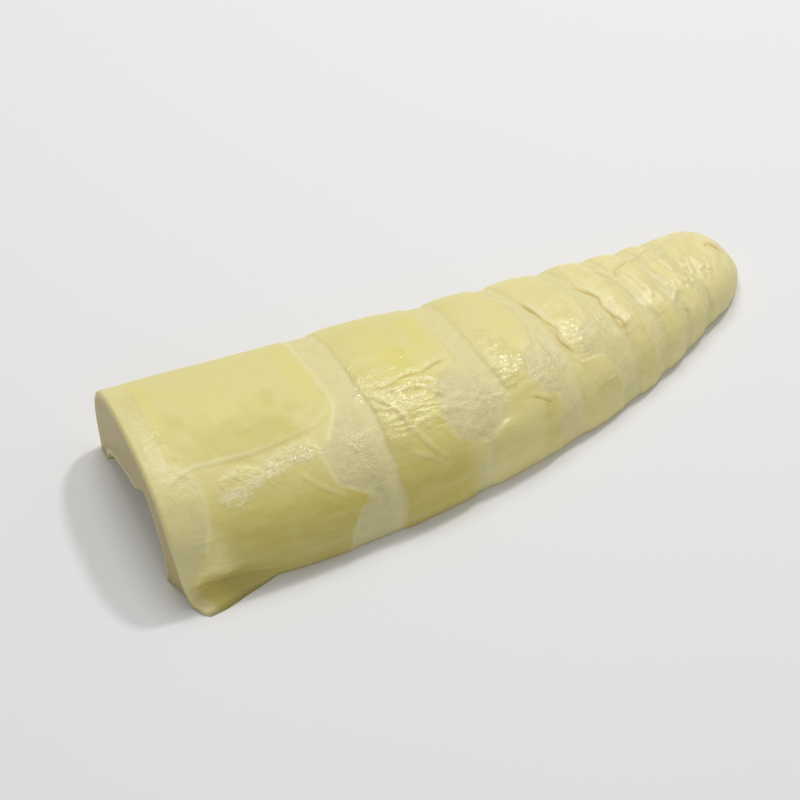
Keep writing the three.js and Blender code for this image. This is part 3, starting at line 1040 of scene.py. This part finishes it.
def flesh_material(colours):
    """Wet boiled flesh. Masks on the mesh choose between skin, rings, scuffs, creases and cuts,
    and noise along the fibres varies colour, gloss and fine relief inside each."""
    tree = Tree("boiled_flesh")
    chart = tree.node("ShaderNodeUVMap", {"uv_map": "chart"}, {}, "UV")
    place = tree.node("ShaderNodeTexCoord", {}, {}, "Object")
    mask = {name: tree.mask(name) for name in MASKS}

    clouds = tree.noise(tree.stretched(chart, 26, 11), 4.0, 0.6)
    patches = tree.noise(tree.stretched(chart, 8, 4), 5.0, 0.65)
    fibres = tree.noise(tree.stretched(chart, 13, 0.5), 5.0, 0.6)
    strands = tree.noise(tree.stretched(chart, 30, 1.6), 5.0, 0.62)
    hoops = tree.noise(tree.stretched(chart, 1.1, 10), 4.0, 0.6)
    mottle = tree.noise(place, 5.0, 0.65, scale=420.0)
    pebbles = tree.noise(place, 3.0, 0.55, scale=900.0)
    rucks = tree.noise(tree.stretched(chart, 6, 1.8), 3.0, 0.5, distortion=0.8)
    crumbs = tree.noise(place, 3.0, 0.6, scale=1600.0)

    yellow = tree.mix(mask["youth"] * 0.85, rgba(colours.skin), rgba(colours.young))
    clear = mask["bright"] * 0.7 + clouds.between(0.50, 0.72) * 0.4
    yellow = tree.mix(clear * (1 - mask["youth"] * 0.6), yellow, rgba(colours.bright))
    yellow = tree.mix(patches.between(0.50, 0.78) * 0.45, yellow, rgba(colours.ring))
    streak = strands.between(0.48, 0.72) * (0.30 + mask["low"] * 0.3)
    yellow = tree.mix(streak, yellow, rgba(colours.ring))
    banding = mask["youth"] * (hoops.between(0.46, 0.66) * 0.5 + patches.between(0.48, 0.66) * 0.55)
    yellow = tree.mix(banding, yellow, rgba(colours.blush))
    # Olive of the near wall, partly its own and partly painted shade, and of bruises.
    depth = mask["olive_and_shade"] * (clouds * 0.5 + patches.between(0.35, 0.65) * 0.4 + 0.35)
    skin = tree.mix(depth, yellow, rgba(colours.olive_and_shade))
    # Painted shade: the strip along the lower edge darkens towards brownish olive.
    skin = tree.mix(mask["low"] * 0.6, skin, rgba(colours.painted_shade))
    wisps = strands.between(0.52, 0.66) * mask["low"] * 0.5
    skin = tree.mix(wisps, skin, rgba(colours.grey))

    speckle = mottle.between(0.42, 0.66) * 0.35 + pebbles.between(0.45, 0.62) * mask["torn"] * 0.2
    # Rings grey with the olive mask, so on the near wall partly as painted shade.
    grey = mask["torn"] * 0.35 + speckle + mask["olive_and_shade"] * 0.30
    ring = tree.mix(grey, rgba(colours.ring), rgba(colours.grey))
    ring = tree.mix(hoops.between(0.48, 0.70) * 0.35, ring, rgba(colours.blush))
    ring = tree.mix(patches.between(0.52, 0.80) * 0.5, ring, yellow)
    # The ring's edge wanders with the noise, and is crisp in some places and soft in others.
    frayed = mask["ring_side"] + (mottle - 0.5) * 2.2 + (crumbs - 0.5) * 1.0
    softness = patches.between(0.40, 0.62) * 2.2 + 0.35
    inside = (frayed / softness + 0.5).clamp()
    colour = tree.mix(inside * 0.88, skin, ring)
    # Pale pulp smears; beside the base cut partly painted light on its shaded corner.
    smears = patches.between(0.40, 0.60) * 0.35 + mottle.between(0.4, 0.6) * 0.15
    colour = tree.mix(mask["smear_and_painted_light"] * (smears + 0.25), colour, rgba(colours.young))
    speckles = crumbs.between(0.50, 0.60) * (1 - mask["olive_and_shade"]).clamp() * 0.6
    edge = tree.mix(speckles, ring, rgba(colours.bright))
    border = (mask["margin"] + (mottle - 0.5) * 0.6).between(0.25, 0.75)
    colour = tree.mix(border * 0.8, colour, edge)
    # The scuffed patch: partly pale roughened fibres, partly a painted sheen of the wet film.
    rubbed = (mask["scuffed"] + (patches - 0.5) * 1.6 + (fibres - 0.5)).between(0.1, 1.3)
    pale_fibres_and_sheen = rubbed * (pebbles.between(0.40, 0.62) * 0.50 + strands.between(0.4, 0.6) * 0.35)
    colour = tree.mix(pale_fibres_and_sheen, colour, rgba(colours.pale_fibres_and_sheen))
    # Lips and edges lighten towards the pale colour: partly pale edges, partly painted highlight.
    colour = tree.mix(mask["lip"] * (mottle * 0.8 + 0.2), colour, rgba(colours.pale_fibres_and_sheen))
    # Folds darken to golden brown; at the crease above the foot this is painted shade.
    side = mask["fold_side"] + (crumbs - 0.5) * 0.5 + (mottle - 0.5) * 0.6
    groove = 1 - side.absolute() / 0.45
    groove = groove.clamp() * mask["fold_near"]
    stain_and_shade = mask["fold_near"] * 0.14
    colour = tree.mix(groove * 0.9 + stain_and_shade, colour, rgba(colours.crease))
    # The base cut's colour is partly its own and partly painted shade.
    dots = tree.noise(place, 2.0, 0.5, scale=900.0).between(0.56, 0.64)
    sliced = tree.mix(dots * 0.25, rgba(colours.cut), rgba(colours.crease))
    colour = tree.mix(mask["cut"], colour, sliced)
    lining = tree.mix(strands.between(0.4, 0.6) * 0.5, rgba(colours.pale_fibres_and_sheen), rgba(colours.ring))
    colour = tree.mix(mask["hollow"], colour, lining)

    dull = 0.60 - mask["wet"] * 0.54 + mask["cut"] * 0.1
    dull = dull + (fibres - 0.5) * 0.10 + (mottle - 0.5) * 0.14
    roughness = dull.at_least(0.055)

    film = mask["wet"].between(0.45, 0.75)
    ridges = 1 - (rucks - 0.5).absolute() * 4
    grain = fibres * 0.10 + strands * 0.11 + hoops * (mask["youth"] * 0.25 + inside * 0.10)
    grain = grain + ridges * (mask["ruffled"] * 0.07 + mask["wrinkled"] * 0.10)
    grain = grain + mottle * (mask["torn"] * 0.18 + mask["ruffled"] * 0.30 + film * 0.10 + 0.08)
    grain = grain + pebbles * (mask["torn"] * 0.50 + rubbed * 0.25 + mask["ruffled"] * 0.16)
    grain = grain + crumbs * (rubbed * 0.25 + mask["torn"] * 0.15 + 0.02) - groove * 0.15
    normal = tree.node(
        "ShaderNodeBump", {}, {"Strength": 1.0, "Distance": 0.0006, "Height": grain}, "Normal")
    inputs = {
        "Base Color": colour, "Roughness": roughness, "Normal": normal, "IOR": 1.50,
        "Subsurface Weight": 0.22, "Subsurface Radius": (1.0, 0.75, 0.3),
        "Subsurface Scale": 0.002,
    }
    shader = tree.node("ShaderNodeBsdfPrincipled", {"subsurface_method": "RANDOM_WALK"}, inputs,
                       "BSDF")
    return tree.finish(shader)


def floor_material(colour):
    """Plain pale floor with the faintest cloud in its gloss."""
    tree = Tree("pale_floor")
    place = tree.node("ShaderNodeTexCoord", {}, {}, "Object")
    cloud = tree.noise(place, 2.0, 0.5, scale=3.0)
    inputs = {"Base Color": rgba(colour), "Roughness": cloud * 0.1 + 0.55}
    return tree.finish(tree.node("ShaderNodeBsdfPrincipled", {}, inputs, "BSDF"))


# ---------------------------------------------------------------------------------------------
# Operators.


class SHOOT_OT_flesh(bpy.types.Operator):
    """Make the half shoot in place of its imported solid"""

    bl_idname = "shoot.flesh"
    bl_label = "Half Shoot"

    def execute(self, context):
        plan = Plan(context.scene.shoot_shape)
        vertices, faces, masks, chart = shoot_mesh(plan)
        vertices = vertices * MM + frame_shift(plan)
        piece = new_object("half_shoot", vertices, faces)
        for name, values in masks.items():
            store(piece.data, name, values)
        store_chart(piece.data, chart)
        piece.data.materials.append(flesh_material(context.scene.shoot_colours))
        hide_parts(NODE)
        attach(piece, BODY)
        return {"FINISHED"}


class SHOOT_OT_stage(bpy.types.Operator):
    """Make the floor, the lights and the camera"""

    bl_idname = "shoot.stage"
    bl_label = "Stage"

    def execute(self, context):
        stage = context.scene.shoot_stage
        half = stage.floor_size / 2
        corners = [(-half, -half, 0), (half, -half, 0), (half, half, 0), (-half, half, 0)]
        floor = new_object("floor", corners, [(0, 1, 2, 3)])
        floor.data.materials.append(floor_material(stage.floor_colour))
        self.lights(context.scene, stage)
        self.camera(context.scene, stage)
        context.scene.view_settings.view_transform = "Standard"
        return {"FINISHED"}

    def lights(self, scene, stage):
        """A soft panel overhead and behind the shoot, a small lamp past its tip for crisp wet
        glints, a wide faint light by the camera, and an even sky."""
        for name, size, power, spot in (
            ("key", stage.key_size, stage.key_power, stage.key_place),
            ("lamp", stage.lamp_size, stage.lamp_power, stage.lamp_place),
            ("fill", stage.fill_size, stage.fill_power, stage.fill_place),
        ):
            panel = bpy.data.lights.new(name, "AREA")
            panel.shape = "DISK"
            panel.size = size
            panel.energy = power
            light = bpy.data.objects.new(name, panel)
            light.location = spot
            turn = (Vector((0, 0, 0)) - light.location).to_track_quat("-Z", "Y")
            light.rotation_euler = turn.to_euler()
            scene.collection.objects.link(light)
        world = bpy.data.worlds.new("studio")
        world.use_nodes = True
        sky = world.node_tree.nodes["Background"]
        sky.inputs["Color"].default_value = (1.0, 0.99, 0.97, 1.0)
        sky.inputs["Strength"].default_value = stage.sky
        scene.world = world

    def camera(self, scene, stage):
        """The camera looks at a point on the floor from its azimuth, elevation and distance."""
        lens = bpy.data.cameras.new("camera")
        lens.lens = stage.lens
        lens.sensor_width = 36.0
        lens.clip_start = 0.01
        shift = frame_shift(Plan(scene.shoot_shape))
        aim = Vector(stage.aim) + Vector(shift)
        level = np.cos(stage.elevation)
        back = Vector((np.sin(stage.azimuth) * level, -np.cos(stage.azimuth) * level,
                       np.sin(stage.elevation)))
        camera = bpy.data.objects.new("camera", lens)
        camera.location = aim + back * stage.distance
        camera.rotation_euler = (-back).to_track_quat("-Z", "Y").to_euler()
        scene.collection.objects.link(camera)
        scene.camera = camera


class SHOOT_PT_panel(bpy.types.Panel):
    """Lists the sizes, the colours and the steps"""

    bl_idname = "SHOOT_PT_panel"
    bl_label = "Bamboo Shoot"
    bl_space_type = "VIEW_3D"
    bl_region_type = "UI"
    bl_category = "Bamboo Shoot"

    def draw(self, context):
        for group in (context.scene.shoot_shape, context.scene.shoot_colours,
                      context.scene.shoot_stage):
            box = self.layout.box()
            for name in group.__annotations__:
                box.prop(group, name)
        for step in STEPS:
            self.layout.operator(step.bl_idname)


STEPS = (SHOOT_OT_flesh, SHOOT_OT_stage)
GROUPS = (ShootShape, ShootColours, StageSettings)


def register():
    for part in (*GROUPS, *STEPS, SHOOT_PT_panel):
        bpy.utils.register_class(part)
    bpy.types.Scene.shoot_shape = bpy.props.PointerProperty(type=ShootShape)
    bpy.types.Scene.shoot_colours = bpy.props.PointerProperty(type=ShootColours)
    bpy.types.Scene.shoot_stage = bpy.props.PointerProperty(type=StageSettings)


def unregister():
    del bpy.types.Scene.shoot_shape
    del bpy.types.Scene.shoot_colours
    del bpy.types.Scene.shoot_stage
    for part in (SHOOT_PT_panel, *STEPS, *GROUPS):
        bpy.utils.unregister_class(part)


def main():
    """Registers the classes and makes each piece."""
    register()
    bpy.ops.shoot.flesh()
    bpy.ops.shoot.stage()


if __name__ == "__main__":
    main()
